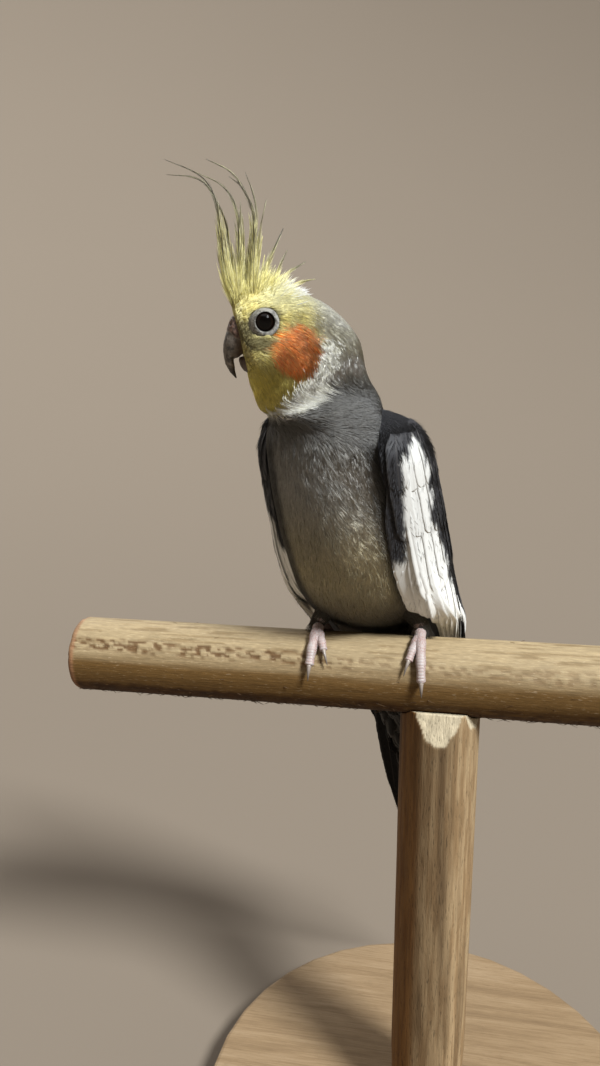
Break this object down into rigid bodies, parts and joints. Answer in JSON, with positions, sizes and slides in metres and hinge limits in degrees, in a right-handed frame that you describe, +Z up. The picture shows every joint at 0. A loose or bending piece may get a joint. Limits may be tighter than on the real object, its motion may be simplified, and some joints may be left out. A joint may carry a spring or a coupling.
{
  "type": "perched cockatiel display model",
  "caption": "Life-size still model of a perched crested parakeet with folded wings and a long tail, gripping a cut length of round wooden perch on a post and round base.",
  "frame": {"origin": "centre of the underside of the round base, on the post's axis", "axes": "+Z up along the post; +X along the perch rod to the right of a viewer facing the bird's breast; +Y away from that viewer, the way the tail hangs"},
  "size_m": [0.2042, 0.16, 0.3285],
  "materials": {
    "grey_plumage": "soft matte feathers",
    "yellow_plumage": "soft matte feathers",
    "wing_plumage": "matte feathers",
    "tail_plumage": "matte feathers",
    "eye": "wet gloss",
    "bill_horn": "dull horn",
    "foot_skin": "scaly skin",
    "claw_horn": "horn",
    "perch_wood": "bare rough wood",
    "base_wood": "satin oiled wood"
  },
  "bodies": {
    "root": {"torso": "grey_plumage", "neck": "grey_plumage", "head": "yellow_plumage", "eye_left": "eye", "eye_right": "eye", "bill_upper": "bill_horn", "bill_lower": "bill_horn", "wing_left": "wing_plumage", "wing_right": "wing_plumage", "tail": "tail_plumage", "leg_left": "foot_skin", "leg_right": "foot_skin", "claw_left_inner_front": "claw_horn", "claw_left_outer_front": "claw_horn", "claw_left_inner_back": "claw_horn", "claw_left_outer_back": "claw_horn", "claw_right_inner_front": "claw_horn", "claw_right_outer_front": "claw_horn", "claw_right_inner_back": "claw_horn", "claw_right_outer_back": "claw_horn", "perch": "perch_wood", "stand_post": "perch_wood", "stand_base": "base_wood"}
  },
  "joints": []
}
